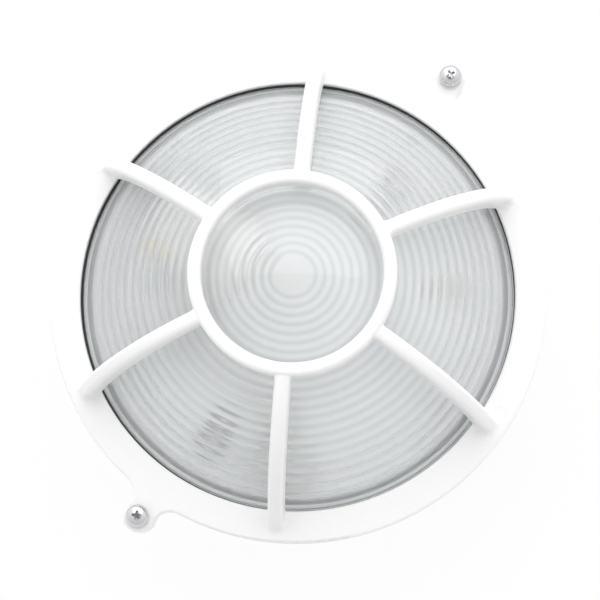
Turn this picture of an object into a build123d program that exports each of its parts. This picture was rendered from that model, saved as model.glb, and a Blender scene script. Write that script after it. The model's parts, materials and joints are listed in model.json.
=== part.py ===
from build123d import *
import os
from math import asin, atan2, cos, hypot, pi, radians, sin, sqrt, tan

# Round bulkhead light: cast six-rib guard, prismatic glass dome, dished base with an E27 holder.
# Millimetres. Z = 0 is the wall, +Z points out through the glass, the two ears are on +Y and -Y.

# Heights of the joint between base and cover
LAND_HEIGHT = 50.0  # wall to the base's gasket land
GASKET_LIP = 1.2
GLASS_RIM_THICKNESS = 3.5
FRAME_LIP = 2.2  # frame metal over the gasket
FLANGE_EDGE = 4.6  # frame metal at its outer edge
COVER_GAP = 0.2  # metal to metal, held open by the gasket
FRAME_LIP_UNDER = LAND_HEIGHT + 2 * GASKET_LIP + GLASS_RIM_THICKNESS
FACE_HEIGHT = FRAME_LIP_UNDER + FRAME_LIP
FLANGE_UNDER = FACE_HEIGHT - FLANGE_EDGE
RIM_TOP = FLANGE_UNDER - COVER_GAP

# Guard frame
FLANGE_RADIUS = 105.0
FLANGE_WIDTH = 13.2  # opening to outer edge
REBATE_WALL = 6.3  # metal outside the gasket's recess
FLANGE_ROUND = 1.2
OPENING_ROUND = 0.7
RIB_COUNT = 6
RING_OUTER = 42.0
RING_WIDTH = 5.5
RING_RISE = 46.5  # flange face to the ring's top
RING_DEPTH = 5.6
RING_ROUND = 1.7
RIB_TOP_WIDTH = 3.9
RIB_DRAFT = 10.5  # degrees on each side
RIB_TOP_ROUND = 1.0
RIB_TOP_RADIUS = 69.4  # arc of the rib's outer edge
RIB_TOP_DROP = 0.8  # rib below the ring's top where they meet
RIB_TIP_SETBACK = 5.0  # flange's edge to the rib's tip
RIB_UNDER_RADIUS = 66.0  # arc of the rib's inner edge
RIB_UNDER_DROP = 0.5  # rib below the ring's underside
RIB_FOOT_SETBACK = 0.3  # rib's inner edge behind the opening's edge
RIB_ROOT = 1.6  # rib sunk into the flange
RIB_BLADE_DEPTH = 12.0  # before the under arc is cut
RIB_SWEEP = 110.0  # degrees of arc, before the rib is cut to length
RIB_FILLET = 1.2

# Ears and cover screws, M5 x 14 pan head
EAR_REACH = 9.4  # flange's edge to the screw's axis
EAR_RADIUS = 6.5
EAR_FILLET = 8.0
LUG_RADIUS = 6.1
LUG_DEPTH = 10.0
LUG_WEB = 5.0
LUG_WEB_DROP = 15.0
SCREW_THREAD_RADIUS = 2.5
SCREW_HOLE_RADIUS = 2.75
THREAD_CLEARANCE = 0.05
SCREW_HEAD_RADIUS = 4.75
SCREW_HEAD_HEIGHT = 3.6
SCREW_HEAD_CROWN = 1.3
SCREW_LENGTH = 14.0
SCREW_CHAMFER = 0.6
RECESS_SPAN = 5.0
RECESS_WIDTH = 1.2
RECESS_DEPTH = 1.9
WASHER_OUTER = 4.4
WASHER_THICKNESS = 1.2
WASHER_SPLIT = 1.0

# Glass dome
LENS_FOOT_INSET = 3.0  # opening's edge to the dome's foot
LENS_RISE = 41.0  # flange face to the dome's pole
LENS_THICKNESS = 3.4
LENS_FOOT_FILLET = 1.5
PRISM_PITCH = 3.6  # along the dome
PRISM_DEPTH = 0.35
LENS_CENTRE_RADIUS = 7.5  # plain disc at the pole

# Gasket
GASKET_GAP = 0.3  # curved faces, glass and frame
GASKET_WEB = 2.1  # rubber outside the glass rim
GASKET_FOOT_INSET = 2.0  # dome's foot to the lower lip's edge
GASKET_LIP_INSET = 0.8  # opening's edge to the upper lip's edge

# Base housing
BASE_WALL = 3.0
BASE_SETBACK = 16.0  # flange's edge to the top of the wall
BASE_TAPER = 5.0  # wall's lean from top to back
RIM_SETBACK = 2.0  # flange's edge to the rim
RIM_WALL = 3.8
RIM_DEPTH = 7.3
SHOULDER_DROP = 5.0
BACK_ROUND = 4.0
FLOOR_BEVEL = 2.5  # inside corner of floor and wall
SHOULDER_ROUND = 3.0
BACK_RECESS = 1.2
BACK_LAND_WIDTH = 7.0
FLOOR = 3.0
FLOOR_TOP = BACK_RECESS + FLOOR

# Wall-screw holes
WALL_HOLE_SETBACK = 16.0  # inside of the wall to the hole
WALL_HOLE_RADIUS = 4.0
WALL_BOSS_RADIUS = 9.0
WALL_BOSS_TOP = 7.0
GROMMET_BORE = 2.6
GROMMET_FLANGE_RADIUS = 7.2
GROMMET_FLANGE = 1.6
GROMMET_CLEARANCE = 0.05

# Lampholder, E27, its axis along X above the floor
HOLDER_AXIS_HEIGHT = 36.0
HOLDER_SETBACK = 11.0  # inside of the wall to the holder's back
HOLDER_LENGTH = 44.0
HOLDER_RADIUS = 19.5
HOLDER_REAR_RADIUS = 16.5
HOLDER_LIP_ROUND = 2.0
HOLDER_REAR_LENGTH = 14.0
HOLDER_TAPER = 4.0
HOLDER_BORE = 15.0
HOLDER_BORE_DEPTH = 31.0
SHELL_RADIUS = 13.35  # inside of the E27 sleeve
SHELL_WALL = 0.6
SHELL_LENGTH = 26.0
SHELL_HOLE = 7.0
CONTACT_POCKET = 4.5  # under the cavity's floor
CONTACT_WIDTH = 6.0
CONTACT_THICKNESS = 0.6
CONTACT_RISE = 4.0
CONTACT_REACH = 4.5
TERMINAL_SIZE = 6.0
TERMINAL_HEIGHT = 7.0
TERMINAL_RISE = 6.0  # each side of the holder's axis
TERMINAL_SINK = 4.5
TERMINAL_SLOT_CLEARANCE = 0.2

# Bracket
BRACKET_SHEET = 1.5
BRACKET_HALF_WIDTH = 14.0
BRACKET_TOP = 50.0
FOOT_LENGTH = 17.0
FOOT_HALF_WIDTH = 29.0
FOOT_SCREW_SETBACK = 9.0
FOOT_SCREW_Y = 24.0
FOOT_BOSS_RADIUS = 4.5
FOOT_BOSS_TOP = 9.0
M4_THREAD_RADIUS = 2.0
M4_HEAD_RADIUS = 3.8
M4_HEAD_HEIGHT = 2.6
M4_HOLE_RADIUS = 2.2
M4_LENGTH = 5.0
HOLDER_SCREW_SPREAD = 9.0
HOLDER_SCREW_LENGTH = 6.0

# Terminal block, three poles along X
BLOCK_ANGLE = -64.3  # degrees round from the gland
BLOCK_SETBACK = 18.8  # inside of the wall to the block's centre
POLE_PITCH = 11.0
POLE_COUNT = 3
BLOCK_WIDTH = 16.0
BLOCK_SLAB = 4.5
TURRET_WIDTH = 8.4
BLOCK_HEIGHT = 12.5
BLOCK_PAD = 2.5
POLE_RISE = 6.0  # pad to the wire bores' axis
INSERT_RADIUS = 2.3
INSERT_BORE = 1.6
INSERT_INSET = 0.8
M3_THREAD_RADIUS = 1.5
M3_HEAD_RADIUS = 2.6
M3_HEAD_HEIGHT = 2.0
POLE_SCREW_SPREAD = 4.0
POLE_SCREW_SINK = 1.2
SEAT_CLEARANCE = 0.05
BLOCK_SCREW_LENGTH = 6.0

# Earth terminal
EARTH_ANGLE = 45.0  # degrees round from the gland
EARTH_SETBACK = 16.0  # inside of the wall to the screw
EARTH_BOSS_RADIUS = 5.5
EARTH_BOSS_TOP = 9.0
EARTH_WASHER_RADIUS = 5.0
EARTH_WASHER_THICKNESS = 1.0
EARTH_SCREW_LENGTH = 5.0

# Leads
LEAD_RADIUS = 1.3
LEAD_STOP = 1.0  # end of the lead past the block's middle
LEAD_CLEARANCE = 8.0  # block to the first route
LEAD_STEP = 4.0  # between the two routes
LEAD_RISE_RUN = 24.0
LEAD_BEND_SHARE = 0.45  # of the shorter straight at each bend

# Cable gland on +X, M16
GLAND_DROP = 28.0  # gasket land to the gland's axis
GLAND_FACE_INSET = 1.0  # inside the top of the wall
GLAND_BOSS_RADIUS = 13.0
GLAND_THREAD_RADIUS = 8.0
GLAND_WASHER_THICKNESS = 0.8
GLAND_WASHER_RADIUS = 10.5
GLAND_HEX = 20.0
GLAND_HEX_LENGTH = 4.2
GLAND_COLLAR_RADIUS = 7.2
GLAND_COLLAR_LENGTH = 6.5
GLAND_BORE = 5.5
SEAL_CLEARANCE = 0.05
SEAL_BORE = 3.75
SEAL_LENGTH = 9.0
NUT_HEX = 19.0
NUT_GAP = 0.6
NUT_END = 2.4
NUT_MOUTH = 4.6
NUT_ROUND = 2.0

# Worked out from the sizes above
OPENING_RADIUS = FLANGE_RADIUS - FLANGE_WIDTH
REBATE_RADIUS = FLANGE_RADIUS - REBATE_WALL
RIB_TIP_RADIUS = FLANGE_RADIUS - RIB_TIP_SETBACK
EAR_PITCH_RADIUS = FLANGE_RADIUS + EAR_REACH
LENS_FOOT_RADIUS = OPENING_RADIUS - LENS_FOOT_INSET
GASKET_INNER = LENS_FOOT_RADIUS - GASKET_FOOT_INSET
GASKET_TOP_INNER = OPENING_RADIUS + GASKET_LIP_INSET
GASKET_OUTER = REBATE_RADIUS - GASKET_GAP
LENS_RIM_RADIUS = GASKET_OUTER - GASKET_WEB - GASKET_GAP
RIM_RADIUS = FLANGE_RADIUS - RIM_SETBACK
LAND_OUTER = RIM_RADIUS - RIM_WALL
BASE_TOP_RADIUS = FLANGE_RADIUS - BASE_SETBACK
BASE_BACK_RADIUS = BASE_TOP_RADIUS - BASE_TAPER
INNER_RADIUS = BASE_BACK_RADIUS - BASE_WALL
WALL_HOLE_PITCH = 2 * (INNER_RADIUS - WALL_HOLE_SETBACK)
RING_INNER = RING_OUTER - RING_WIDTH
RING_TOP = FACE_HEIGHT + RING_RISE
RING_UNDER = RING_TOP - RING_DEPTH
LENS_POLE = FACE_HEIGHT + LENS_RISE
LENS_FOOT = FRAME_LIP_UNDER - GASKET_LIP
LENS_HEIGHT = LENS_POLE - LENS_FOOT
LENS_SPHERE = (LENS_FOOT_RADIUS**2 + LENS_HEIGHT**2) / (2 * LENS_HEIGHT)
LENS_CENTRE = LENS_POLE - LENS_SPHERE
HOLDER_BACK = HOLDER_SETBACK - INNER_RADIUS
HOLDER_MOUTH = HOLDER_BACK + HOLDER_LENGTH
CAVITY_FLOOR = HOLDER_MOUTH - HOLDER_BORE_DEPTH
FOOT_SCREW_X = HOLDER_BACK + FOOT_SCREW_SETBACK
BLOCK_BASE = FLOOR_TOP + BLOCK_PAD
POLE_AXIS = BLOCK_BASE + POLE_RISE
GLAND_HEIGHT = LAND_HEIGHT - GLAND_DROP
GLAND_FACE = BASE_TOP_RADIUS - GLAND_FACE_INSET
GLAND_HEX_FACE = GLAND_FACE + GLAND_WASHER_THICKNESS
COLLAR_FACE = GLAND_HEX_FACE + GLAND_HEX_LENGTH
NUT_FACE = COLLAR_FACE + NUT_GAP
SEAL_END = COLLAR_FACE + GLAND_COLLAR_LENGTH + NUT_GAP
SEAL_FACE = SEAL_END - SEAL_LENGTH


def floor_place(setback, angle):
    """Place on the base's floor, so far in from the wall and so many degrees round."""
    reach = INNER_RADIUS - setback
    return (reach * cos(radians(angle)), reach * sin(radians(angle)))


BLOCK_CENTRE = floor_place(BLOCK_SETBACK, BLOCK_ANGLE)
EARTH_AT = floor_place(EARTH_SETBACK, EARTH_ANGLE)


def outline(*points):
    """Flat face from corner points."""
    return make_face(Polyline(*points, close=True))


def rounded(face, corner, radius):
    """The face with its corner nearest to a point rounded."""
    nearest = min(face.vertices(), key=lambda v: hypot(v.X - corner[0], v.Y - corner[1]))
    return fillet(nearest, radius)


def turned(face):
    """Solid of revolution about Z from a (radius, height) outline."""
    return revolve(Plane.XZ * face, Axis.Z)


def disc(radius, bottom, top, x=0.0, y=0.0):
    """Upright cylinder between two heights."""
    return Pos(x, y, (bottom + top) / 2) * Cylinder(radius, top - bottom)


def along_x(radius, start, end, y=0.0, z=0.0):
    """Cylinder along X between two places."""
    return Pos((start + end) / 2, y, z) * Rot(0, 90, 0) * Cylinder(radius, end - start)


def block(low, high):
    """Box between two corners."""
    size = [h - l for l, h in zip(low, high)]
    centre = [(l + h) / 2 for l, h in zip(low, high)]
    return Pos(*centre) * Box(*size)


def arc_centre(p, q, radius):
    """Centre of the arc from p to q that bulges away from the origin."""
    half = hypot(q[0] - p[0], q[1] - p[1]) / 2
    reach = sqrt(radius**2 - half**2)
    slope = atan2(q[1] - p[1], q[0] - p[0]) - pi / 2
    return ((p[0] + q[0]) / 2 + reach * cos(slope), (p[1] + q[1]) / 2 + reach * sin(slope))


def ear_outline(body_radius, lobe_radius):
    """Ear on +Y: a lobe round the screw, blended into the round body by two hollow arcs."""
    from_axis = body_radius + EAR_FILLET
    from_lobe = lobe_radius + EAR_FILLET
    cosine = (from_axis**2 + EAR_PITCH_RADIUS**2 - from_lobe**2) / (2 * from_axis * EAR_PITCH_RADIUS)
    blend_y = from_axis * cosine
    blend_x = sqrt(from_axis**2 - blend_y**2)
    foot = (blend_x * body_radius / from_axis, blend_y * body_radius / from_axis)
    share = lobe_radius / from_lobe
    waist = (blend_x * share, EAR_PITCH_RADIUS + (blend_y - EAR_PITCH_RADIUS) * share)
    inside = body_radius - lobe_radius
    neck = outline(
        (-foot[0], inside), (foot[0], inside), foot, (blend_x, blend_y), waist,
        (-waist[0], waist[1]), (-blend_x, blend_y), (-foot[0], foot[1]),
    )
    for side in (-1, 1):
        neck -= Pos(side * blend_x, blend_y) * Circle(EAR_FILLET)
    return neck + Pos(0, EAR_PITCH_RADIUS) * Circle(lobe_radius)


def guard_rib():
    """One drafted bar along +X that arches from ring to flange."""
    tip = (RIB_TIP_RADIUS, FACE_HEIGHT)
    foot = (OPENING_RADIUS + RIB_FOOT_SETBACK, FACE_HEIGHT)
    top = arc_centre((RING_OUTER, RING_TOP - RIB_TOP_DROP), tip, RIB_TOP_RADIUS)
    under = arc_centre((RING_OUTER, RING_UNDER - RIB_UNDER_DROP), foot, RIB_UNDER_RADIUS)
    half_top = RIB_TOP_WIDTH / 2
    half_root = half_top + RIB_BLADE_DEPTH * tan(radians(RIB_DRAFT))
    inner, outer = top[0] + RIB_TOP_RADIUS - RIB_BLADE_DEPTH, top[0] + RIB_TOP_RADIUS
    section = outline((inner, -half_root), (outer, -half_top), (outer, half_top), (inner, half_root))
    for side in (-1, 1):
        section = rounded(section, (outer, side * half_top), RIB_TOP_ROUND)
    blade = revolve(Pos(0, 0, top[1]) * section, Axis((top[0], 0, top[1]), (0, -1, 0)), RIB_SWEEP)
    blade -= Pos(under[0], 0, under[1]) * Rot(90, 0, 0) * Cylinder(RIB_UNDER_RADIUS, 3 * half_root)
    ring_middle = (RING_INNER + RING_OUTER) / 2
    low = (ring_middle, -half_root, FACE_HEIGHT - RIB_ROOT)
    return blade & block(low, (FLANGE_RADIUS, half_root, RING_TOP))


def is_rib_root(edge):
    """True where a rib meets the flange's face or the lower half of the ring's outside."""
    place = edge.center()
    reach = hypot(place.X, place.Y)
    on_flange = abs(place.Z - FACE_HEIGHT) < COVER_GAP and OPENING_RADIUS + OPENING_ROUND < reach
    on_ring = RING_OUTER - COVER_GAP < reach < RING_OUTER + RIB_TOP_ROUND
    on_ring = on_ring and RING_UNDER < place.Z < (RING_UNDER + RING_TOP) / 2
    return on_ring or on_flange and reach < RIB_TIP_RADIUS + RIB_TOP_ROUND


def guard_frame():
    """Flange with two ears, a raised ring and six ribs, cast in one."""
    plate = disc(FLANGE_RADIUS, FLANGE_UNDER, FACE_HEIGHT)
    ear = Pos(0, 0, FLANGE_UNDER) * extrude(ear_outline(FLANGE_RADIUS, EAR_RADIUS), FLANGE_EDGE)
    plate += ear
    plate += Rot(0, 0, 180) * ear
    plate = fillet(plate.faces().sort_by(Axis.Z)[-1].outer_wire().edges(), FLANGE_ROUND)
    plate -= disc(REBATE_RADIUS, FLANGE_UNDER, FRAME_LIP_UNDER)
    plate -= disc(OPENING_RADIUS, FLANGE_UNDER, FACE_HEIGHT)
    circles = plate.edges().filter_by(GeomType.CIRCLE)
    opening = circles.filter_by(lambda edge: abs(edge.radius - OPENING_RADIUS) < COVER_GAP)
    plate = fillet(opening.sort_by(Axis.Z)[-1], OPENING_ROUND)
    for side in (-1, 1):
        plate -= disc(SCREW_HOLE_RADIUS, FLANGE_UNDER, FACE_HEIGHT, 0, side * EAR_PITCH_RADIUS)
    crests = ((RING_OUTER, RING_TOP), (RING_INNER, RING_TOP))
    band = outline((RING_INNER, RING_UNDER), (RING_OUTER, RING_UNDER), *crests)
    for corner in crests:
        band = rounded(band, corner, RING_ROUND)
    rib = guard_rib()
    frame = plate + turned(band)
    for turn in range(RIB_COUNT):
        frame += Rot(0, 0, turn * 360 / RIB_COUNT) * rib
    return fillet(frame.edges().filter_by(is_rib_root), RIB_FILLET)


def glass_lens():
    """Dome with a smooth outside, rings of prisms inside and a flat rim."""
    inner_sphere = LENS_SPHERE - LENS_THICKNESS
    outer_end = asin(LENS_FOOT_RADIUS / LENS_SPHERE)
    first = LENS_CENTRE_RADIUS / inner_sphere
    inner_foot = LENS_FOOT_RADIUS - LENS_THICKNESS
    last = asin(inner_foot / LENS_SPHERE)
    step = PRISM_PITCH / inner_sphere
    count = int((last - first) / step)

    def on_inside(angle, depth=0.0):
        reach = inner_sphere - depth
        return (reach * sin(angle), LENS_CENTRE + reach * cos(angle))

    inside = [(0.0, LENS_CENTRE + inner_sphere), on_inside(first)]
    for ring in range(count):
        angle = first + ring * step
        inside += [on_inside(angle + step / 2, PRISM_DEPTH), on_inside(angle + step)]
    rim_under = LENS_FOOT - GLASS_RIM_THICKNESS
    middle = outer_end / 2
    dome = ThreePointArc(
        (0, LENS_POLE),
        (LENS_SPHERE * sin(middle), LENS_CENTRE + LENS_SPHERE * cos(middle)),
        (LENS_FOOT_RADIUS, LENS_FOOT),
    )
    edge = Polyline(
        (LENS_FOOT_RADIUS, LENS_FOOT), (LENS_RIM_RADIUS, LENS_FOOT), (LENS_RIM_RADIUS, rim_under),
        (inner_foot, rim_under), *reversed(inside), (0.0, LENS_POLE),
    )
    face = rounded(make_face(dome + edge), (LENS_FOOT_RADIUS, LENS_FOOT), LENS_FOOT_FILLET)
    return turned(face)


def lens_gasket():
    """U-shaped rubber round the glass rim."""
    web = LENS_RIM_RADIUS + GASKET_GAP
    glass_under = LAND_HEIGHT + GASKET_LIP
    return turned(outline(
        (GASKET_INNER, LAND_HEIGHT), (GASKET_OUTER, LAND_HEIGHT), (GASKET_OUTER, FRAME_LIP_UNDER),
        (GASKET_TOP_INNER, FRAME_LIP_UNDER), (GASKET_TOP_INNER, LENS_FOOT),
        (web, LENS_FOOT), (web, glass_under), (GASKET_INNER, glass_under),
    ))


def pan_screw(head_radius, head_height, thread_radius, length, crown, soften=chamfer):
    """Pan-head screw pointing down, head on Z = 0, with a cross recess."""
    rise = head_height - crown
    head = disc(head_radius, 0, head_height)
    head = soften(head.edges().sort_by(Axis.Z)[-1], crown)
    shank = disc(thread_radius, -length, 0)
    shank = chamfer(shank.edges().sort_by(Axis.Z)[0], min(SCREW_CHAMFER, thread_radius / 3))
    share = head_radius / SCREW_HEAD_RADIUS
    span, width = RECESS_SPAN * share, RECESS_WIDTH * share
    depth = min(RECESS_DEPTH * share, rise)
    screw = head + shank
    for turn in (0, 90):
        arm = Box(span, width, 2 * depth)
        screw -= Pos(0, 0, head_height) * Rot(0, 0, turn) * arm
    return screw


def cover_screw(side):
    """Screw in the ear on +Y or -Y."""
    seat = FACE_HEIGHT + WASHER_THICKNESS
    screw = pan_screw(SCREW_HEAD_RADIUS, SCREW_HEAD_HEIGHT, SCREW_THREAD_RADIUS - THREAD_CLEARANCE,
                      SCREW_LENGTH, SCREW_HEAD_CROWN, fillet)
    return Pos(0, side * EAR_PITCH_RADIUS, seat) * screw


def cover_screw_washer(side):
    """Split spring washer between ear and screw head."""
    ring = disc(WASHER_OUTER, 0, WASHER_THICKNESS) - disc(SCREW_HOLE_RADIUS, 0, WASHER_THICKNESS)
    ring -= block((0, -WASHER_SPLIT / 2, 0), (WASHER_OUTER, WASHER_SPLIT / 2, WASHER_THICKNESS))
    return Pos(0, side * EAR_PITCH_RADIUS, FACE_HEIGHT) * ring


def base_shell():
    """Dished shell with a flat back, a rim and a gasket land."""
    wall_top = LAND_HEIGHT - RIM_DEPTH + (RIM_TOP - LAND_HEIGHT)
    shoulder = wall_top - SHOULDER_DROP
    inner_top = BASE_TOP_RADIUS - BASE_WALL
    land_inner = BASE_BACK_RADIUS - BACK_LAND_WIDTH
    recess = land_inner - BACK_RECESS
    face = outline(
        (0, BACK_RECESS), (recess, BACK_RECESS), (land_inner, 0), (BASE_BACK_RADIUS, 0),
        (BASE_TOP_RADIUS, shoulder), (LAND_OUTER, wall_top), (RIM_RADIUS, wall_top), (RIM_RADIUS, RIM_TOP),
        (LAND_OUTER, RIM_TOP), (LAND_OUTER, LAND_HEIGHT), (inner_top, LAND_HEIGHT), (inner_top, shoulder),
        (INNER_RADIUS, FLOOR_TOP + FLOOR_BEVEL), (INNER_RADIUS - FLOOR_BEVEL, FLOOR_TOP), (0, FLOOR_TOP),
    )
    face = rounded(face, (BASE_BACK_RADIUS, 0), BACK_ROUND)
    face = rounded(face, (BASE_TOP_RADIUS, shoulder), SHOULDER_ROUND)
    return turned(face)


def base_lug():
    """Screw lug on +Y under the frame's ear, with a web down to the wall."""
    lug = Pos(0, 0, RIM_TOP - LUG_DEPTH) * extrude(ear_outline(RIM_RADIUS, LUG_RADIUS), LUG_DEPTH)
    lug_under = RIM_TOP - LUG_DEPTH
    inner = BASE_TOP_RADIUS - BASE_WALL / 2
    tip = EAR_PITCH_RADIUS - LUG_RADIUS / 2
    web = Plane.YZ * outline(
        (inner, lug_under - LUG_WEB_DROP), (tip, lug_under),
        (tip, lug_under + BASE_WALL), (inner, lug_under + BASE_WALL),
    )
    lug += extrude(web, LUG_WEB / 2, both=True)
    return lug - disc(LAND_OUTER, 0, RIM_TOP)


def base_housing():
    """Cast dish that carries everything and is screwed to the wall."""
    base = base_shell()
    for turn in (0, 180):
        base += Rot(0, 0, turn) * base_lug()
    base += along_x(GLAND_BOSS_RADIUS, INNER_RADIUS, GLAND_FACE, 0, GLAND_HEIGHT)
    base -= along_x(GLAND_WASHER_RADIUS + SEAT_CLEARANCE, GLAND_FACE, BASE_TOP_RADIUS, 0, GLAND_HEIGHT)
    for side in (-1, 1):
        y = side * WALL_HOLE_PITCH / 2
        base += disc(WALL_BOSS_RADIUS, 0, WALL_BOSS_TOP, 0, y)
        base += disc(FOOT_BOSS_RADIUS, BACK_RECESS, FOOT_BOSS_TOP, FOOT_SCREW_X, side * FOOT_SCREW_Y)
    base += disc(EARTH_BOSS_RADIUS, BACK_RECESS, EARTH_BOSS_TOP, *EARTH_AT)
    half_length = POLE_COUNT * POLE_PITCH / 2
    base += block(
        (BLOCK_CENTRE[0] - half_length, BLOCK_CENTRE[1] - BLOCK_WIDTH / 2, BACK_RECESS),
        (BLOCK_CENTRE[0] + half_length, BLOCK_CENTRE[1] + BLOCK_WIDTH / 2, BLOCK_BASE),
    )
    thread = M4_THREAD_RADIUS + THREAD_CLEARANCE
    for side in (-1, 1):
        base -= disc(WALL_HOLE_RADIUS, 0, WALL_BOSS_TOP, 0, side * WALL_HOLE_PITCH / 2)
        base -= disc(thread, FOOT_BOSS_TOP - M4_LENGTH, FOOT_BOSS_TOP, FOOT_SCREW_X, side * FOOT_SCREW_Y)
        base -= disc(SCREW_THREAD_RADIUS, RIM_TOP - LUG_DEPTH, RIM_TOP, 0, side * EAR_PITCH_RADIUS)
    base -= disc(thread, EARTH_BOSS_TOP - EARTH_SCREW_LENGTH, EARTH_BOSS_TOP, *EARTH_AT)
    screw_tip = BLOCK_BASE + BLOCK_SLAB - BLOCK_SCREW_LENGTH
    base -= disc(M3_THREAD_RADIUS + THREAD_CLEARANCE, screw_tip, BLOCK_BASE, *block_screw_place())
    base -= along_x(GLAND_THREAD_RADIUS, 0, GLAND_FACE, 0, GLAND_HEIGHT) & block(
        (INNER_RADIUS - GLAND_THREAD_RADIUS, -GLAND_THREAD_RADIUS, 0),
        (GLAND_FACE, GLAND_THREAD_RADIUS, LAND_HEIGHT),
    )
    return base


def mounting_grommets():
    """Rubber bushes in the wall-screw holes."""
    bush = disc(WALL_HOLE_RADIUS - GROMMET_CLEARANCE, 0, WALL_BOSS_TOP)
    bush += disc(GROMMET_FLANGE_RADIUS, WALL_BOSS_TOP, WALL_BOSS_TOP + GROMMET_FLANGE)
    bush -= disc(GROMMET_BORE, 0, WALL_BOSS_TOP + GROMMET_FLANGE)
    return [Pos(0, side * WALL_HOLE_PITCH / 2, 0) * bush for side in (-1, 1)]


def holder_axis(solid):
    """Places a solid made along Z, mouth up from 0, on the holder's axis with its back at the bracket."""
    return Pos(HOLDER_BACK, 0, HOLDER_AXIS_HEIGHT) * Rot(0, 90, 0) * solid


def terminal_places():
    """Centres of the two lead terminals on the holder's -Y flank."""
    y = -(HOLDER_REAR_RADIUS - TERMINAL_SINK + TERMINAL_HEIGHT / 2)
    x = HOLDER_BACK + HOLDER_REAR_LENGTH / 2
    return [(x, y, HOLDER_AXIS_HEIGHT + side * TERMINAL_RISE) for side in (-1, 1)]


def holder_screw_places():
    """Heights of the screws through the bracket into the holder."""
    return [HOLDER_AXIS_HEIGHT + side * HOLDER_SCREW_SPREAD for side in (-1, 1)]


def lampholder_body():
    """Porcelain holder with a bore for the threaded sleeve and pockets for contact and terminals."""
    neck = HOLDER_REAR_LENGTH
    floor = HOLDER_LENGTH - HOLDER_BORE_DEPTH
    pocket_floor = floor - CONTACT_POCKET
    face = outline(
        (0, 0), (HOLDER_REAR_RADIUS, 0), (HOLDER_REAR_RADIUS, neck), (HOLDER_RADIUS, neck + HOLDER_TAPER),
        (HOLDER_RADIUS, HOLDER_LENGTH), (HOLDER_BORE, HOLDER_LENGTH), (HOLDER_BORE, floor),
        (SHELL_HOLE, floor), (SHELL_HOLE, pocket_floor), (0, pocket_floor),
    )
    face = rounded(face, (HOLDER_RADIUS, HOLDER_LENGTH), HOLDER_LIP_ROUND)
    body = holder_axis(turned(face))
    half = TERMINAL_SIZE / 2 + TERMINAL_SLOT_CLEARANCE
    seat = TERMINAL_SINK - HOLDER_REAR_RADIUS
    for x, y, z in terminal_places():
        body -= block((x - half, -HOLDER_RADIUS, z - half), (x + half, seat, z + half))
    thread = M4_THREAD_RADIUS + THREAD_CLEARANCE
    for z in holder_screw_places():
        body -= along_x(thread, HOLDER_BACK, HOLDER_BACK + HOLDER_SCREW_LENGTH, 0, z)
    return body


def lampholder_shell():
    """Threaded sleeve's tube with an inward foot on the cavity's floor."""
    outer = SHELL_RADIUS + SHELL_WALL
    floor = HOLDER_LENGTH - HOLDER_BORE_DEPTH
    mouth = floor + SHELL_LENGTH
    return holder_axis(turned(outline(
        (SHELL_HOLE, floor), (outer, floor), (outer, mouth), (SHELL_RADIUS, mouth),
        (SHELL_RADIUS, floor + SHELL_WALL), (SHELL_HOLE, floor + SHELL_WALL),
    )))


def lampholder_contact():
    """Bent spring strip that meets the lamp's tip."""
    t, reach, rise = CONTACT_THICKNESS, CONTACT_REACH, CONTACT_RISE
    strip = Plane.XZ * Pos(CAVITY_FLOOR - CONTACT_POCKET, HOLDER_AXIS_HEIGHT) * outline(
        (0, -reach), (t, -reach), (t, 0), (rise, reach - t), (rise, reach), (rise - t, reach), (0, t),
    )
    return extrude(strip, CONTACT_WIDTH / 2, both=True)


def lampholder_terminals():
    """Brass blocks in the holder's pockets."""
    brass = Box(TERMINAL_SIZE, TERMINAL_HEIGHT, TERMINAL_SIZE)
    return [Pos(*place) * brass for place in terminal_places()]


def lampholder_bracket():
    """Bent sheet that stands behind the holder, its foot on two bosses."""
    front, back = HOLDER_BACK, HOLDER_BACK - BRACKET_SHEET
    low = FOOT_BOSS_TOP
    sheet = block((back, -BRACKET_HALF_WIDTH, low), (front, BRACKET_HALF_WIDTH, BRACKET_TOP))
    sheet = fillet(sheet.edges().filter_by(Axis.X).sort_by(Axis.Z)[-2:], BRACKET_HALF_WIDTH / 2)
    foot_end = back + FOOT_LENGTH
    sheet += block((back, -FOOT_HALF_WIDTH, low), (foot_end, FOOT_HALF_WIDTH, low + BRACKET_SHEET))
    for side in (-1, 1):
        sheet -= disc(M4_HOLE_RADIUS, low, low + BRACKET_SHEET, FOOT_SCREW_X, side * FOOT_SCREW_Y)
    for z in holder_screw_places():
        sheet -= along_x(M4_HOLE_RADIUS, back, front, 0, z)
    return sheet


def m4_screw(length):
    """Short pan-head M4 screw pointing down, head on Z = 0."""
    return pan_screw(M4_HEAD_RADIUS, M4_HEAD_HEIGHT, M4_THREAD_RADIUS, length, M4_HEAD_HEIGHT / 3)


def bracket_screws():
    """Screws through the bracket's foot."""
    top = FOOT_BOSS_TOP + BRACKET_SHEET
    screw = m4_screw(M4_LENGTH)
    return [Pos(FOOT_SCREW_X, side * FOOT_SCREW_Y, top) * screw for side in (-1, 1)]


def holder_screws():
    """Screws through the bracket into the porcelain, from behind."""
    screw = Rot(0, -90, 0) * m4_screw(HOLDER_SCREW_LENGTH)
    return [Pos(HOLDER_BACK - BRACKET_SHEET, 0, z) * screw for z in holder_screw_places()]


def pole_places():
    """X of each pole of the terminal block."""
    return [BLOCK_CENTRE[0] + (i - (POLE_COUNT - 1) / 2) * POLE_PITCH for i in range(POLE_COUNT)]


def pole_bore(x, radius, inset=0.0):
    """Cylinder along Y through one pole."""
    length = BLOCK_WIDTH - 2 * inset
    return Pos(x, BLOCK_CENTRE[1], POLE_AXIS) * Rot(90, 0, 0) * Cylinder(radius, length)


def pole_screw_places(x):
    """The two screw places of one pole."""
    return [(x, BLOCK_CENTRE[1] + side * POLE_SCREW_SPREAD) for side in (-1, 1)]


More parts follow.
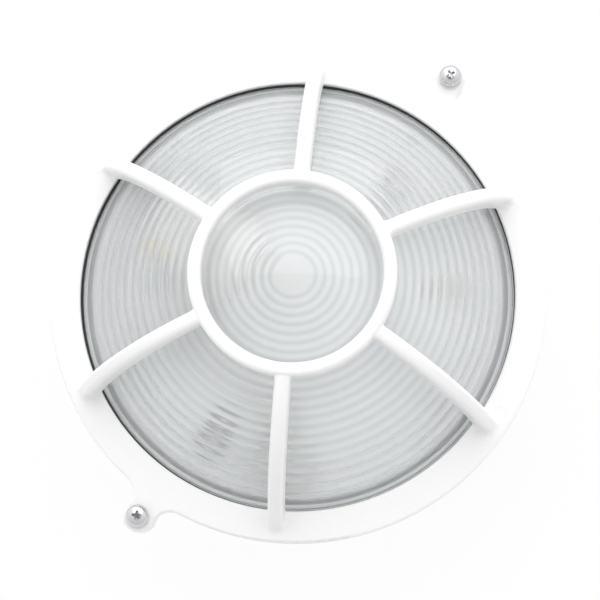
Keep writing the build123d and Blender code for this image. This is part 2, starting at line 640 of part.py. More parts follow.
def block_screw_place():
    """Place of the screw between the first two poles."""
    return ((pole_places()[0] + pole_places()[1]) / 2, BLOCK_CENTRE[1])


def terminal_block():
    """Three-pole block: a slab with a rounded turret over each pole."""
    cx, cy = BLOCK_CENTRE
    top = BLOCK_BASE + BLOCK_HEIGHT
    body = Pos(cx, cy, BLOCK_BASE + BLOCK_SLAB / 2) * Box(POLE_COUNT * POLE_PITCH, BLOCK_WIDTH, BLOCK_SLAB)
    turret = Box(TURRET_WIDTH, BLOCK_WIDTH, BLOCK_HEIGHT)
    turret = fillet(turret.edges().filter_by(Axis.Y).sort_by(Axis.Z)[-2:], TURRET_WIDTH / 4)
    for x in pole_places():
        body += Pos(x, cy, BLOCK_BASE + BLOCK_HEIGHT / 2) * turret
    for x in pole_places():
        body -= pole_bore(x, INSERT_RADIUS + SEAT_CLEARANCE)
        for place in pole_screw_places(x):
            body -= disc(M3_THREAD_RADIUS + SEAT_CLEARANCE, POLE_AXIS, top, *place)
    place = block_screw_place()
    body -= disc(M3_THREAD_RADIUS + SEAT_CLEARANCE, BLOCK_BASE, top, *place)
    return body - disc(M3_HEAD_RADIUS + 2 * SEAT_CLEARANCE, BLOCK_BASE + BLOCK_SLAB, top, *place)


def terminal_inserts():
    """Brass tubes that grip the wires, one to a pole."""
    tubes = []
    for x in pole_places():
        tube = pole_bore(x, INSERT_RADIUS, INSERT_INSET) - pole_bore(x, INSERT_BORE)
        for place in pole_screw_places(x):
            tube -= disc(M3_THREAD_RADIUS + SEAT_CLEARANCE, POLE_AXIS, POLE_AXIS + INSERT_RADIUS, *place)
        tubes.append(tube)
    return tubes


def terminal_screws():
    """Slotted grub screws, two to a pole."""
    top = BLOCK_BASE + BLOCK_HEIGHT - POLE_SCREW_SINK
    tip = POLE_AXIS + LEAD_RADIUS
    grub = disc(M3_THREAD_RADIUS, tip, top)
    slot = M3_THREAD_RADIUS / 4
    grub -= block((-M3_THREAD_RADIUS, -slot, top - 2 * slot), (M3_THREAD_RADIUS, slot, top))
    return [Pos(*place, 0) * grub for x in pole_places() for place in pole_screw_places(x)]


def terminal_block_screw():
    """Screw that holds the terminal block to its pad."""
    crown = M3_HEAD_HEIGHT / 3
    screw = pan_screw(M3_HEAD_RADIUS, M3_HEAD_HEIGHT, M3_THREAD_RADIUS, BLOCK_SCREW_LENGTH, crown)
    return Pos(*block_screw_place(), BLOCK_BASE + BLOCK_SLAB) * screw


def earth_washer():
    """Plain washer on the earth boss."""
    bottom, top = EARTH_BOSS_TOP, EARTH_BOSS_TOP + EARTH_WASHER_THICKNESS
    return disc(EARTH_WASHER_RADIUS, bottom, top, *EARTH_AT) - disc(M4_HOLE_RADIUS, bottom, top, *EARTH_AT)


def earth_screw():
    """Screw of the protective earth terminal."""
    return Pos(*EARTH_AT, EARTH_BOSS_TOP + EARTH_WASHER_THICKNESS) * m4_screw(EARTH_SCREW_LENGTH)


def lead(pole, terminal, step):
    """Sleeved lead from one pole of the block to one terminal of the holder."""
    x = pole_places()[pole]
    block_end = BLOCK_CENTRE[1] + BLOCK_WIDTH / 2
    run_y = block_end + LEAD_CLEARANCE + step
    end_x, end_y, end_z = terminal_places()[terminal]
    points = [
        (x, BLOCK_CENTRE[1] + LEAD_STOP, POLE_AXIS), (x, run_y, POLE_AXIS),
        (end_x + LEAD_RISE_RUN, run_y, POLE_AXIS), (end_x, run_y, end_z),
        (end_x, end_y - TERMINAL_HEIGHT / 2, end_z),
    ]
    runs = [Vector(*b) - Vector(*a) for a, b in zip(points, points[1:])]
    radii = [
        LEAD_BEND_SHARE * min(a.length, b.length) / tan(radians(a.get_angle(b)) / 2)
        for a, b in zip(runs, runs[1:])
    ]
    path = FilletPolyline(*points, radius=radii)
    return sweep(Plane(path @ 0, z_dir=path % 0) * Circle(LEAD_RADIUS), path=path)


def hexagon(across_flats, start, end):
    """Hexagonal prism along X on the gland's axis."""
    profile = RegularPolygon(across_flats / 2, 6, major_radius=False)
    return Pos(start, 0, GLAND_HEIGHT) * Rot(0, 90, 0) * extrude(profile, end - start)


def gland_round(radius, start, end):
    """Cylinder along X on the gland's axis."""
    return along_x(radius, start, end, 0, GLAND_HEIGHT)


def gland_washer():
    """Sealing ring between boss and gland."""
    ring = gland_round(GLAND_WASHER_RADIUS, GLAND_FACE, GLAND_HEX_FACE)
    return ring - gland_round(GLAND_THREAD_RADIUS + SEAT_CLEARANCE, GLAND_FACE, GLAND_HEX_FACE)


def gland_body():
    """Threaded spigot, hexagon and collar, bored for the seal."""
    collar_end = COLLAR_FACE + GLAND_COLLAR_LENGTH
    body = gland_round(GLAND_THREAD_RADIUS - THREAD_CLEARANCE, INNER_RADIUS, GLAND_HEX_FACE)
    body += hexagon(GLAND_HEX, GLAND_HEX_FACE, COLLAR_FACE)
    body += gland_round(GLAND_COLLAR_RADIUS, COLLAR_FACE, collar_end)
    return body - gland_round(GLAND_BORE, INNER_RADIUS, collar_end)


def gland_seal():
    """Rubber bush that grips the cable."""
    bush = gland_round(GLAND_BORE - SEAL_CLEARANCE, SEAL_FACE, SEAL_END)
    return bush - gland_round(SEAL_BORE, SEAL_FACE, SEAL_END)


def gland_nut():
    """Dome nut that squeezes the seal."""
    end = SEAL_END + NUT_END
    nut = hexagon(NUT_HEX, NUT_FACE, end) & gland_round(NUT_HEX / sqrt(3) - NUT_ROUND / 4, NUT_FACE, end)
    nut -= gland_round(GLAND_COLLAR_RADIUS + THREAD_CLEARANCE, NUT_FACE, SEAL_END)
    return nut - gland_round(NUT_MOUTH, SEAL_END, end)


def nodes():
    """Every separate piece by name."""
    return {
        "base_housing": base_housing(),
        "mounting_grommets": mounting_grommets(),
        "lampholder_bracket": lampholder_bracket(),
        "bracket_screws": bracket_screws(),
        "lampholder_body": lampholder_body(),
        "lampholder_shell": lampholder_shell(),
        "lampholder_contact": lampholder_contact(),
        "lampholder_terminals": lampholder_terminals(),
        "holder_screws": holder_screws(),
        "terminal_block": terminal_block(),
        "terminal_inserts": terminal_inserts(),
        "terminal_screws": terminal_screws(),
        "terminal_block_screw": terminal_block_screw(),
        "earth_washer": earth_washer(),
        "earth_screw": earth_screw(),
        "live_lead": lead(0, 0, 0.0),
        "neutral_lead": lead(1, 1, LEAD_STEP),
        "gland_washer": gland_washer(),
        "gland_body": gland_body(),
        "gland_seal": gland_seal(),
        "gland_nut": gland_nut(),
        "guard_frame": guard_frame(),
        "glass_lens": glass_lens(),
        "lens_gasket": lens_gasket(),
        "cover_screw_upper": cover_screw(1),
        "cover_screw_lower": cover_screw(-1),
        "cover_screw_washer_upper": cover_screw_washer(1),
        "cover_screw_washer_lower": cover_screw_washer(-1),
    }


def main():
    os.makedirs("parts", exist_ok=True)
    for name, piece in nodes().items():
        shape = Compound(children=piece) if isinstance(piece, list) else piece
        export_step(shape, f"parts/{name}.step")


main()
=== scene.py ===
import json
import math

import bpy
from mathutils import Matrix, Vector

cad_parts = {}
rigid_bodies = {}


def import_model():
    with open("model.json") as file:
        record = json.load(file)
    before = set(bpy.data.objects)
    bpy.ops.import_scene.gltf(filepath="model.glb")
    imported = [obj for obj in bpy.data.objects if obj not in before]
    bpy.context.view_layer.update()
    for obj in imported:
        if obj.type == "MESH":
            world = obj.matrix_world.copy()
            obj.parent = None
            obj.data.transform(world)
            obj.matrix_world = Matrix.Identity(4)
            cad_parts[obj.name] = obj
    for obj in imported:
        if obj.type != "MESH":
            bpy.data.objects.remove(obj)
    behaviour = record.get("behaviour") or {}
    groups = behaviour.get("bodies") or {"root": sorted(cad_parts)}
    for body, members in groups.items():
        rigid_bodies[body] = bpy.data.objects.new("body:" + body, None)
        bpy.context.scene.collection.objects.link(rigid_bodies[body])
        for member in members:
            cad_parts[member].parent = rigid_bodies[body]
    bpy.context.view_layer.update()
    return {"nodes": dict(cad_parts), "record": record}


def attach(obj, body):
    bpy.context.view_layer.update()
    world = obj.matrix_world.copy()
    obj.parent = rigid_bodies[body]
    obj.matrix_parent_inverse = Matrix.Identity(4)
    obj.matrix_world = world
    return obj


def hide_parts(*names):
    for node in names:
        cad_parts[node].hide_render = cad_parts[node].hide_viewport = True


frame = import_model()

MM = 0.001
TURN = 2 * math.pi

# Heights of the clamped stack over the wall, in millimetres like all sizes of pieces

LAND = 50.0
GASKET_LIP = 1.2
RIM_THICKNESS = 3.5
GUARD_LIP = 2.2
WASHER = 1.2
RIM_BOTTOM = LAND + GASKET_LIP
RIM_TOP = RIM_BOTTOM + RIM_THICKNESS
FACE = RIM_TOP + GASKET_LIP + GUARD_LIP
SCREW_SEAT = FACE + WASHER

# Glass dome

ROUND_STEPS = 256
GLASS_WALL = 3.4
SPHERE_CENTRE = -15.54
SPHERE_OUTER = 114.64
SPHERE_INNER = SPHERE_OUTER - GLASS_WALL
PRISM_DEPTH = 0.26
PRISM_PITCH = 3.6
PRISM_POINTS = 8
PRISM_END = 4.0  # last prism to the dome's foot
CENTRE_RADIUS = 7.5  # plain disc at the pole
DOME_STEPS = 44
RIM_RADIUS = 96.0
RIM_ROUND = 0.5
FOOT_RADIUS = 90.6
FOOT_FILLET = [(1.5, 0), (0.7, 0.2), (0.2, 0.7), (0, 1.4)]  # out from the foot, up from the rim

# Gasket round the glass rim

GASKET_GAP = 0.3  # glass rim to rubber
GASKET_WEB = 2.1
GASKET_SEAT = RIM_RADIUS + GASKET_GAP
GASKET_OUTER = GASKET_SEAT + GASKET_WEB
LOWER_LIP = FOOT_RADIUS + 1.4
UPPER_LIP = FOOT_RADIUS + 0.5
LIP_SLIP = (0.44, -0.08)  # the upper lip sits off centre

# Guard casting: the flange's face, and the ribs as arcs seen from the side

FLANGE_RADIUS = 105.0
RIB_COUNT = 6
ARC_CENTRE = (34.63, 34.80)
ARC_RADIUS = 69.45
UNDER_CENTRE = (30.88, 33.45)
UNDER_RADIUS = 66.0
RIB_SECTION = [  # half width, and depth below the crest
    (0, 0), (1.2, 0.03), (1.9, 0.22), (2.5, 0.65), (2.9, 1.25), (3.1, 2.0), (3.25, 3.2), (3.4, 4.6),
    (3.6, 9.0),
]
RIB_START = 3.2  # degrees down the arc, in the ring's metal
FLARE_START = 2.7  # degrees
FLARE_WIDTH = 1.5
FLARE = [  # degrees further on, and width
    (0.02, 1.4), (0.18, 1.23), (0.25, 1.13), (0.35, 1.06), (0.45, 1.02), (0.6, 1.0),
]
ARC_STEPS = 26
ARC_STEP = 2.4  # degrees
FOOT_CUT = 61.0
FOOT_HEEL = 91.3
FOOT_LEAN = 0.42
FOOT_HALF_LENGTH = 7.8
FOOT_HALF_WIDTH = 3.5
FOOT_STEPS = [  # height over the face, and spread
    (1.9, 0.0), (1.4, 0.03), (1.0, 0.13), (0.65, 0.33), (0.35, 0.64), (0.12, 1.08), (-0.02, 1.6),
    (-0.9, 1.6),
]
PIN_REACH = FLANGE_RADIUS - 6.8
PIN_SIDE = 6.6
PIN_RADIUS = 2.3
PIN_DEPTH = 0.15

# Cover screws

EAR_REACH = 9.4
SCREW_REACH = FLANGE_RADIUS + EAR_REACH
SCREW_HEAD = [  # radius, and height over the seat
    (0, 3.55), (1.2, 3.5), (2.2, 3.32), (3.1, 2.98), (3.8, 2.5), (4.3, 1.9), (4.6, 1.3), (4.72, 0.7),
    (4.7, 0.25), (4.5, 0), (2.5, 0),
]
SCREW_LENGTH = 14.0
SCREW_TIP = 1.6
THREAD_CREST = 2.44
THREAD_ROOT = 2.05
THREAD_PITCH = 0.8
THREAD_END = 12.6
CROSS_HEIGHT = 3.1
CROSS_SPAN = 5.2
CROSS_WIDTH = 1.3
CROSS_DEPTH = 3.0
CROSS_TAPER = (0.42, 0.6)
CROSS_TURN = 0.45  # radians

# Camera, light and floor, in metres

CAMERA_PLACE = Vector((0.114362, -0.104479, 0.858100))
CAMERA_RIGHT = Vector((0.817079, 0.575138, -0.039985))
CAMERA_UP = Vector((-0.560039, 0.808269, 0.181817))
CAMERA_LENS = 116.013
SENSOR = 36.0
TOWARDS_TOP = Vector((-0.57, 0.82, 0.0)).normalized()

FLOOR_SIZE = 6.0
FLOOR_DROP = 0.0002
FLOOR_PAPER = 0.93
FLOOR_WHITE = 0.92  # share of plain white that the eye sees

SKY_LEVEL = 0.8
SKY_RISE = 0.4
OVERHEAD_LOSS = 0.8
SOFTBOX_PLACE = (-0.75, 1.1, 1.5)
SOFTBOX_SIZE = 2.4
SOFTBOX_WATTS = 18


# Arithmetic for finishes


class Field:
    """A value that varies over a surface, written with ordinary arithmetic."""

    def __init__(self, finish, socket):
        self.finish = finish
        self.socket = socket

    def __add__(self, other):
        return self.finish.math("ADD", self, other)

    def __sub__(self, other):
        return self.finish.math("SUBTRACT", self, other)

    def __rsub__(self, other):
        return self.finish.math("SUBTRACT", other, self)

    def __mul__(self, other):
        return self.finish.math("MULTIPLY", self, other)

    def __pow__(self, other):
        return self.finish.math("POWER", self, other)


class Finish:
    """A material, or the world's light, built from nodes."""

    def __init__(self, tree):
        self.tree = tree
        tree.nodes.clear()

    def node(self, kind, sockets=None, output=0, **settings):
        """Adds a node, sets it, then gives its sockets their values or links."""
        made = self.tree.nodes.new(kind)
        for name, value in settings.items():
            setattr(made, name, value)
        for key, value in (sockets or {}).items():
            if isinstance(value, Field):
                self.tree.links.new(value.socket, made.inputs[key])
            else:
                made.inputs[key].default_value = value
        return Field(self, made.outputs[output]) if made.outputs else None

    def math(self, operation, *values):
        return self.node("ShaderNodeMath", dict(enumerate(values)), operation=operation)

    def mix(self, share, first, second):
        """A colour between first and second."""
        sockets = {0: share, 6: first, 7: second}
        return self.node("ShaderNodeMix", sockets, output=2, data_type="RGBA")

    def place(self):
        """The point on the object, in metres."""
        return self.node("ShaderNodeTexCoord", output=3)

    def noise(self, scale, detail=2.0, roughness=0.5, place=None):
        sockets = {"Scale": scale, "Detail": detail, "Roughness": roughness}
        sockets["Vector"] = place or self.place()
        return self.node("ShaderNodeTexNoise", sockets)

    def ramp(self, value, low, high):
        """0 below low, 1 above high, smooth between."""
        sockets = {"Value": value, "From Min": low, "From Max": high}
        return self.node("ShaderNodeMapRange", sockets, interpolation_type="SMOOTHSTEP")

    def bump(self, height, distance):
        return self.node("ShaderNodeBump", {"Height": height, "Distance": distance})

    def principled(self, **sockets):
        named = {key.replace("_", " "): value for key, value in sockets.items()}
        return self.node("ShaderNodeBsdfPrincipled", named)

    def surface(self, shader, kind="ShaderNodeOutputMaterial"):
        self.node(kind, {"Surface": shader})


finishes = {}


def finish(name):
    """Starts a named material and keeps it for the slot of the same name."""
    material = bpy.data.materials.new(name)
    material.use_nodes = True
    finishes[name] = material
    return Finish(material.node_tree)


def grey(level):
    return (level, level, level, 1)


# Finishes


def painted_casting():
    """White powder paint over a die casting, with orange peel and fine pores; the pores are also painted
    a little darker as painted shade in the pits.
    """
    f = finish("white_casting")
    place = f.place()
    peel = f.noise(420, 3, 0.55, place)
    grain = f.noise(1500, 2, 0.6, place)
    pores_and_pit_shade = f.ramp(f.noise(900, 1, 0.4, place), 0.70, 0.78)
    cloud = f.noise(28, 2, 0.5, place)
    height = peel * 0.6 + grain * 0.25 - pores_and_pit_shade * 0.6
    f.surface(f.principled(
        # The pore mask sinks the pores in the bump and also greys their colour as painted shade; the
        # cloud is random tone.
        Base_Color=f.mix(cloud * 0.35 + pores_and_pit_shade * 0.3, (0.90, 0.90, 0.895, 1), (0.86, 0.862, 0.862, 1)),
        Roughness=cloud * 0.12 + grain * 0.08 + 0.34,
        Coat_Weight=0.25,
        Coat_Roughness=0.25,
        Normal=f.bump(height, 0.00008),
    ))


def clear_glass():
    """Pressed soda glass, faintly wavy and milky, rough inside, with painted shade in the prisms'
    valleys that draws the rings' refracted shading.
    """
    f = finish("clear_glass")
    place = f.place()
    waves = f.noise(60, 2, 0.5, place)
    middle = (0, 0, SPHERE_CENTRE * MM)
    reach = f.node("ShaderNodeVectorMath", {0: place, 1: middle}, output=1, operation="DISTANCE")
    pressed = 1 - f.ramp(reach, (SPHERE_OUTER - 0.9) * MM, (SPHERE_OUTER - 0.5) * MM)
    flat = f.node("ShaderNodeVectorMath", {0: place, 1: (1, 1, 0)}, operation="MULTIPLY")
    radius = f.node("ShaderNodeVectorMath", {0: flat}, output=1, operation="LENGTH")
    phase = (radius - CENTRE_RADIUS * MM) * (TURN / (PRISM_PITCH * MM))
    # Painted shade: the glass colour is darkened in each prism's valley to draw the rings' shading.
    painted_ring_shade = (0.5 - f.math("COSINE", phase) * 0.5) ** 2.0
    painted_ring_shade = painted_ring_shade * f.ramp(radius, CENTRE_RADIUS * MM, (CENTRE_RADIUS + 0.3) * MM)
    glass = f.principled(
        Base_Color=f.mix(painted_ring_shade, (0.985, 0.995, 1.0, 1), (0.855, 0.885, 0.905, 1)),
        Roughness=pressed * (waves * 0.06 + 0.19),
        Transmission_Weight=0.74,
        IOR=1.5,
        Normal=f.bump(waves, 0.00001),
    )
    shadow = f.node("ShaderNodeLightPath", output=1)
    clear = f.node("ShaderNodeBsdfTransparent", {"Color": (1.0, 1.0, 1.0, 1)})
    f.surface(f.node("ShaderNodeMixShader", {0: shadow, 1: glass, 2: clear}))


def rubber(name, level):
    f = finish(name)
    bloom = f.noise(90, 3, 0.6)
    grain = f.noise(2200, 2, 0.5)
    f.surface(f.principled(
        Base_Color=f.mix(bloom, grey(level), grey(level * 1.9)),
        Roughness=bloom * 0.2 + 0.5,
        Normal=f.bump(grain, 0.00005),
    ))


def turned_metal(name, colour, dark, roughness):
    """Plated or drawn metal with fine lines and a little clouding."""
    f = finish(name)
    place = f.place()
    cloud = f.noise(160, 3, 0.6, place)
    scratches = f.noise(2600, 2, 0.7, place)
    f.surface(f.principled(
        Base_Color=f.mix(cloud, (*colour, 1), (*dark, 1)),
        Metallic=1.0,
        Roughness=cloud * 0.08 + scratches * 0.06 + roughness,
        Normal=f.bump(scratches, 0.00002),
    ))


def glazed_porcelain():
    f = finish("porcelain")
    cloud = f.noise(70, 3, 0.5)
    specks = f.ramp(f.noise(1100, 1, 0.5), 0.72, 0.76)
    f.surface(f.principled(
        Base_Color=f.mix(cloud * 0.5 + specks * 0.4, (0.84, 0.83, 0.79, 1), (0.72, 0.70, 0.64, 1)),
        Roughness=cloud * 0.08 + 0.12,
        Coat_Weight=0.5,
        Coat_Roughness=0.06,
        Normal=f.bump(cloud, 0.0002),
    ))


def moulded_plastic(name, colour, shade, roughness):
    f = finish(name)
    cloud = f.noise(45, 2, 0.5)
    grain = f.noise(1800, 2, 0.6)
    f.surface(f.principled(
        Base_Color=f.mix(cloud, (*colour, 1), (*shade, 1)),
        Roughness=cloud * 0.1 + grain * 0.1 + roughness,
        Normal=f.bump(grain, 0.00004),
    ))


painted_casting()
clear_glass()
rubber("black_rubber", 0.012)
turned_metal("plated_steel", (0.72, 0.72, 0.73), (0.60, 0.60, 0.62), 0.10)
turned_metal("zinc_steel", (0.60, 0.61, 0.62), (0.48, 0.49, 0.51), 0.26)
turned_metal("brass", (0.78, 0.57, 0.26), (0.62, 0.43, 0.18), 0.24)
glazed_porcelain()
moulded_plastic("block_plastic", (0.80, 0.80, 0.77), (0.74, 0.74, 0.71), 0.42)
moulded_plastic("lead_sleeve", (0.80, 0.79, 0.75), (0.74, 0.73, 0.69), 0.5)
moulded_plastic("black_plastic", (0.018, 0.018, 0.019), (0.026, 0.026, 0.027), 0.38)


def dress(thing, slot):
    """Gives a mesh the finish of a slot."""
    thing.data.materials.clear()
    thing.data.materials.append(finishes[slot])


for part in frame["record"]["subparts"]:
    frame["nodes"][part["node"]].material_slots[0].material = finishes[part["material_slot"]]


# Modelling by hand


def pick(piece):
    """Makes one piece the only selected and the active one."""
    bpy.ops.object.select_all(action="DESELECT")
    piece.select_set(True)
    bpy.context.view_layer.objects.active = piece


def first_point(name, place):
    """Starts a piece as one point, in edit mode."""
    bpy.ops.object.select_all(action="DESELECT")
    bpy.ops.mesh.primitive_plane_add(size=MM, location=(0, 0, 0))
    piece = bpy.context.object
    piece.name = name
    piece.data.name = name
    bpy.ops.object.mode_set(mode="EDIT")
    bpy.ops.mesh.select_mode(type="VERT")
    bpy.ops.mesh.select_all(action="SELECT")
    bpy.ops.mesh.merge(type="CENTER")
    bpy.ops.transform.translate(value=place)
    return piece


def draw_to(step):
    """Draws an edge from the last point."""
    bpy.ops.mesh.extrude_vertices_move(TRANSFORM_OT_translate={"value": step})


def lathe(name, profile, steps):
    """Draws a closed profile of (radius, height) points in millimetres, point by point, and spins it."""
    radius, height = profile[0]
    piece = first_point(name, (radius * MM, 0, height * MM))
    for (r0, z0), (r1, z1) in zip(profile, profile[1:]):
        draw_to(((r1 - r0) * MM, 0, (z1 - z0) * MM))
    bpy.ops.mesh.select_all(action="SELECT")
    bpy.ops.mesh.spin(steps=steps, angle=TURN, center=(0, 0, 0), axis=(0, 0, 1))
    bpy.ops.mesh.select_all(action="SELECT")
    bpy.ops.mesh.remove_doubles(threshold=0.00002)
    bpy.ops.mesh.normals_make_consistent(inside=False)
    bpy.ops.object.mode_set(mode="OBJECT")
    return piece


def select_near(piece, test):
    """In edit mode, selects the points that a test picks."""
    bpy.ops.mesh.select_all(action="DESELECT")
    bpy.ops.object.mode_set(mode="OBJECT")
    for vertex in piece.data.vertices:
        vertex.select = test(vertex.co)
    bpy.ops.object.mode_set(mode="EDIT")


def pivot(x, z):
    return (x * MM, 0, z * MM)


def smooth(piece, degrees):
    pick(piece)
    bpy.ops.object.shade_smooth_by_angle(angle=math.radians(degrees))


def combine(piece, tool, operation):
    """Joins a tool to a piece or cuts it out of the piece, and removes the tool."""
    pick(piece)
    boolean = piece.modifiers.new(operation.lower(), "BOOLEAN")
    boolean.operation = operation
    boolean.solver = "EXACT"
    boolean.object = tool
    bpy.ops.object.modifier_apply(modifier=boolean.name)
    pick(tool)
    bpy.ops.object.delete()


def add(piece, body, slot, *nodes):
    """Puts a finished piece on its body, in place of the solids that it stands for."""
    dress(piece, slot)
    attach(piece, body)
    if nodes:
        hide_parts(*nodes)


# The glass and its gasket


def on_sphere(sphere, radius):
    return radius, SPHERE_CENTRE + math.sqrt(sphere**2 - radius**2)


def prism_rings(edge):
    """Soft waves on the inside of the dome, outwards from a radius."""
    points = []
    while edge + PRISM_PITCH < FOOT_RADIUS - PRISM_END:
        for k in range(PRISM_POINTS):
            crest = 0.5 - 0.5 * math.cos(TURN * k / PRISM_POINTS)
            sphere = SPHERE_INNER - PRISM_DEPTH * crest
            points.append(on_sphere(sphere, edge + PRISM_PITCH * k / PRISM_POINTS))
        edge += PRISM_PITCH
    return points + [on_sphere(SPHERE_INNER, edge)]


def glass_profile():
    """Up the outside from the rim to the pole, then down the ribbed inside."""
    start = (RIM_RADIUS - RIM_ROUND, RIM_BOTTOM)
    rim = [
        start, (RIM_RADIUS, RIM_BOTTOM + RIM_ROUND),
        (RIM_RADIUS, RIM_TOP - RIM_ROUND), (RIM_RADIUS - RIM_ROUND, RIM_TOP),
    ]
    foot = [(FOOT_RADIUS + out, RIM_TOP + up) for out, up in FOOT_FILLET]
    outside = [
        on_sphere(SPHERE_OUTER, FOOT_RADIUS * math.cos(TURN / 4 * k / DOME_STEPS))
        for k in range(DOME_STEPS)
    ]
    pole = [(0, SPHERE_CENTRE + SPHERE_OUTER), (0, SPHERE_CENTRE + SPHERE_INNER)]
    disc = [on_sphere(SPHERE_INNER, CENTRE_RADIUS * k / 4) for k in (1, 2, 3)]
    skirt = FOOT_RADIUS - GLASS_WALL
    ending = [on_sphere(SPHERE_INNER, skirt), (skirt, RIM_BOTTOM), start]
    return rim + foot + outside + pole + disc + prism_rings(CENTRE_RADIUS) + ending


def gasket_profile():
    """A channel round the glass rim, with a rounded lip under it and one over it."""
    below = RIM_BOTTOM - GASKET_LIP
    above = RIM_TOP + GASKET_LIP
    return [
        (LOWER_LIP, below), (GASKET_OUTER, below), (GASKET_OUTER, above), (UPPER_LIP + 0.5, above),
        (UPPER_LIP + 0.1, above - 0.2), (UPPER_LIP, above - 0.6), (UPPER_LIP + 0.2, above - 1.1),
        (GASKET_SEAT, RIM_TOP), (GASKET_SEAT, RIM_BOTTOM), (LOWER_LIP, RIM_BOTTOM),
        (LOWER_LIP - 0.2, below + 1.0), (LOWER_LIP - 0.2, below + 0.2), (LOWER_LIP, below),
    ]


def slip_lip(gasket):
    """Shifts the upper lip off centre."""
    low = (RIM_TOP + 0.05) * MM
    reach = LOWER_LIP * MM
    pick(gasket)
    bpy.ops.object.mode_set(mode="EDIT")
    select_near(gasket, lambda co: co.z > low and math.hypot(co.x, co.y) < reach)
    bpy.ops.transform.translate(value=(LIP_SLIP[0] * MM, LIP_SLIP[1] * MM, 0))
    bpy.ops.object.mode_set(mode="OBJECT")


glass = lathe("glass_dome", glass_profile(), ROUND_STEPS)
smooth(glass, 50)
add(glass, "cover", "clear_glass", "glass_lens")

gasket = lathe("gasket_ring", gasket_profile(), ROUND_STEPS)
slip_lip(gasket)
smooth(gasket, 40)
add(gasket, "cover", "black_rubber", "lens_gasket")


# The cast guard


def rib_bar():
    """One rib: its section is pulled along the arc from the ring, wider where it leaves the ring."""
    outline = [(-y, d) for y, d in reversed(RIB_SECTION)] + RIB_SECTION[1:]
    crest = ARC_CENTRE[1] + ARC_RADIUS
    y, d = outline[0]
    bar = first_point("rib", (ARC_CENTRE[0] * MM, y * MM, (crest - d) * MM))
    for (y0, d0), (y1, d1) in zip(outline, outline[1:]):
        draw_to((0, (y1 - y0) * MM, (d0 - d1) * MM))
    bpy.ops.mesh.select_all(action="SELECT")
    bpy.ops.mesh.edge_face_add()
    centre = pivot(*ARC_CENTRE)

    def turn(degrees):
        bpy.ops.transform.rotate(
            value=math.radians(-degrees), orient_axis="Y", center_override=centre
        )

    def widen(share):
        bpy.ops.transform.resize(value=(1, share, 1), center_override=centre)

    turn(RIB_START)
    width = FLARE_WIDTH
    widen(width)
    bpy.ops.mesh.extrude_region_move()
    turn(FLARE_START)
    for step, share in FLARE:
        bpy.ops.mesh.extrude_region_move()
        turn(step)
        widen(share / width)
        width = share
    for step in range(ARC_STEPS):
        bpy.ops.mesh.extrude_region_move()
        turn(ARC_STEP)
    bpy.ops.mesh.select_all(action="SELECT")
    bpy.ops.mesh.normals_make_consistent(inside=False)
    bpy.ops.object.mode_set(mode="OBJECT")
    return bar


def hollow_under(bar):
    """Hollows the bar's underside to a flatter arc."""
    bpy.ops.object.select_all(action="DESELECT")
    bpy.ops.mesh.primitive_cylinder_add(
        vertices=256, radius=UNDER_RADIUS * MM, depth=30 * MM,
        location=pivot(*UNDER_CENTRE), rotation=(TURN / 4, 0, 0),
    )
    combine(bar, bpy.context.object, "DIFFERENCE")


def shape_rib():
    """The hollowed bar with a foot that spreads on the flange."""
    bar = rib_bar()
    hollow_under(bar)
    pick(bar)
    bpy.ops.object.mode_set(mode="EDIT")
    bpy.ops.mesh.select_all(action="SELECT")
    bpy.ops.mesh.bisect(
        plane_co=pivot(0, FOOT_CUT), plane_no=(0, 0, 1), clear_inner=True, threshold=0.0000001
    )
    select_near(bar, lambda co: co.z < (FOOT_CUT + 0.01) * MM)
    bpy.ops.mesh.select_mode(type="EDGE")
    height, spread, heel = FOOT_CUT, 0.0, FOOT_HEEL
    for lift, out in FOOT_STEPS:
        drop = height - FACE - lift
        lean = FOOT_LEAN * drop if lift > 0 else 0.0
        move = (lean * MM, 0, -drop * MM)
        bpy.ops.mesh.extrude_edges_move(TRANSFORM_OT_translate={"value": move})
        heel += lean
        long = (FOOT_HALF_LENGTH + out) / (FOOT_HALF_LENGTH + spread)
        wide = (FOOT_HALF_WIDTH + out) / (FOOT_HALF_WIDTH + spread)
        bpy.ops.transform.resize(value=(long, wide, 1), center_override=pivot(heel, 0))
        height, spread = FACE + lift, out
    bpy.ops.mesh.edge_face_add()
    bpy.ops.mesh.select_all(action="SELECT")
    bpy.ops.mesh.normals_make_consistent(inside=False)
    bpy.ops.object.mode_set(mode="OBJECT")
    return bar


def copy_of(node, name):
    """A merged copy of one solid's mesh."""
    pick(frame["nodes"][node])
    bpy.ops.object.duplicate()
    piece = bpy.context.object
    bpy.ops.object.parent_clear(type="CLEAR_KEEP_TRANSFORM")
    bpy.ops.object.transform_apply(location=True, rotation=True, scale=True)
    piece.name = name
    piece.data.name = name
    bpy.ops.object.mode_set(mode="EDIT")
    bpy.ops.mesh.select_all(action="SELECT")
    bpy.ops.mesh.remove_doubles(threshold=0.00001)
    bpy.ops.mesh.normals_make_consistent(inside=False)
    bpy.ops.mesh.customdata_custom_splitnormals_clear()
    bpy.ops.object.mode_set(mode="OBJECT")
    return piece


def spread_copies(piece, count):
    """Copies a piece evenly round the axis and joins the copies."""
    for k in range(1, count):
        pick(piece)
        bpy.ops.object.duplicate()
        twin = bpy.context.object
        bpy.ops.transform.rotate(
            value=TURN * k / count, orient_axis="Z", center_override=(0, 0, 0)
        )
        bpy.ops.object.transform_apply(location=True, rotation=True, scale=True)
        twin.name = f"{piece.name}_{k}"
    bpy.ops.object.select_all(action="DESELECT")
    for k in range(1, count):
        bpy.data.objects[f"{piece.name}_{k}"].select_set(True)
    piece.select_set(True)
    bpy.context.view_layer.objects.active = piece
    bpy.ops.object.join()


def even_shading(piece, degrees):
    """Smooth shading that leaves the flat faces flat."""
    smooth(piece, degrees)
    weighted = piece.modifiers.new("weighted", "WEIGHTED_NORMAL")
    weighted.keep_sharp = True
    bpy.ops.object.modifier_apply(modifier=weighted.name)


